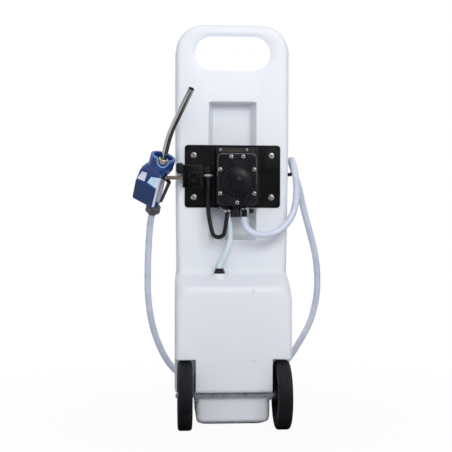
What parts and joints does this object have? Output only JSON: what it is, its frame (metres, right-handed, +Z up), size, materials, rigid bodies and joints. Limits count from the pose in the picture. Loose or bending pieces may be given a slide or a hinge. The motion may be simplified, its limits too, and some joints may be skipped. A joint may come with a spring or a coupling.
{
  "type": "diesel exhaust fluid dispenser",
  "caption": "Tall hollow white tank on two wheels, with a hand hole, a front plate carrying a motor-driven diaphragm pump, a switch, clear hoses and a blue hand nozzle with a bent steel spout.",
  "frame": {"origin": "centre of the tank's flat foot, on the floor", "axes": "+Z up, -Y to the front with the pump and the wheels, +X to the right of a viewer who faces the front"},
  "size_m": [0.5966, 0.3828, 1.2],
  "materials": {
    "tank_white": "semi-translucent natural white moulding",
    "cap_blue": "satin",
    "rubber_black": "matt",
    "plate_black": "gloss black powder coat",
    "plastic_black": "fine grained",
    "motor_steel": "black paint",
    "stainless": "bright",
    "zinc": "zinc plated",
    "nozzle_blue": "satin blue",
    "hose_clear": "milky clear",
    "tyre_black": "matt, fine ribs",
    "hub_grey": "dark grey"
  },
  "bodies": {
    "cart": {"axle": "zinc", "axle_bracket_left": "zinc", "axle_bracket_right": "zinc", "axle_nut_left": "zinc", "axle_nut_right": "zinc", "bracket_screw_1": "stainless", "bracket_screw_2": "stainless", "bypass_cap": "plastic_black", "bypass_clamp": "stainless", "bypass_hose": "rubber_black", "bypass_port": "plastic_black", "cover_screw_1": "stainless", "cover_screw_2": "stainless", "cover_screw_3": "stainless", "cover_screw_4": "stainless", "cover_screw_5": "stainless", "cover_screw_6": "stainless", "cover_screw_7": "stainless", "delivery_hose": "hose_clear", "dip_tube": "hose_clear", "elbow_nut": "stainless", "foot_strainer": "plastic_black", "holder_bracket": "plate_black", "hook_rod": "stainless", "hose_hook": "plastic_black", "motor_can": "motor_steel", "motor_end_cap": "plastic_black", "nozzle_cradle": "rubber_black", "outlet_clamp": "stainless", "outlet_port": "plastic_black", "plate_bolt_1": "stainless", "plate_bolt_2": "stainless", "plate_bolt_3": "stainless", "plate_bolt_4": "stainless", "pump_body": "plastic_black", "pump_bracket": "plate_black", "pump_cover": "plastic_black", "pump_diaphragm": "rubber_black", "pump_plate": "plate_black", "return_elbow": "plastic_black", "suction_fitting": "plastic_black", "suction_hose": "hose_clear", "suction_nut": "plastic_black", "suction_port": "plastic_black", "switch_housing": "plastic_black", "tank": "tank_white"},
    "wheel_left": {"wheel_hub_left": "hub_grey", "tyre_left": "tyre_black"},
    "wheel_right": {"wheel_hub_right": "hub_grey", "tyre_right": "tyre_black"},
    "seal": {"filler_gasket": "rubber_black"},
    "cap": {"filler_cap": "cap_blue"},
    "rocker": {"switch_rocker": "plastic_black"},
    "shaft": {"motor_shaft": "stainless"},
    "nozzle": {"nozzle_body": "nozzle_blue", "nozzle_spout": "stainless", "spout_collar": "stainless", "trigger_pin": "stainless"},
    "trigger": {"nozzle_trigger": "plastic_black"},
    "swivel": {"nozzle_swivel": "hub_grey"}
  },
  "joints": [
    {"name": "wheel_left_spin", "type": "hinge", "parent": "cart", "child": "wheel_left", "pos_m": [-0.14325, -0.1423, 0.1015], "axis": [1, 0, 0], "continuous": true},
    {"name": "wheel_right_spin", "type": "hinge", "parent": "cart", "child": "wheel_right", "pos_m": [0.14325, -0.1423, 0.1015], "axis": [1, 0, 0], "continuous": true},
    {"name": "cap_lift", "type": "slide", "parent": "cart", "child": "seal", "axis": [0, 1, 0], "range_m": [0, 0.08]},
    {"name": "cap_turn", "type": "hinge", "parent": "seal", "child": "cap", "pos_m": [0, 0.118, 1], "axis": [0, 1, 0], "continuous": true},
    {"name": "switch_rock", "type": "hinge", "parent": "cart", "child": "rocker", "pos_m": [-0.1178, -0.0931, 0.7388], "axis": [1, 0, 0], "range_deg": [-8, 8]},
    {"name": "motor_spin", "type": "hinge", "parent": "cart", "child": "shaft", "pos_m": [0.007, -0.116, 0.733], "axis": [0, 1, 0], "continuous": true},
    {"name": "nozzle_lift", "type": "slide", "parent": "cart", "child": "nozzle", "axis": [-0.866, 0, 0.5], "range_m": [0, 0.05]},
    {"name": "trigger_pull", "type": "hinge", "parent": "nozzle", "child": "trigger", "pos_m": [-0.2058, -0.08588, 0.74801], "axis": [0.6092, 0.7538, 0.2464], "range_deg": [0, 9], "stiffness_Nm_per_rad": 2, "springref_deg": -5.73},
    {"name": "swivel_turn", "type": "hinge", "parent": "nozzle", "child": "swivel", "pos_m": [-0.23628, -0.03151, 0.65705], "axis": [0.1869, -0.4384, 0.8792], "continuous": true}
  ]
}
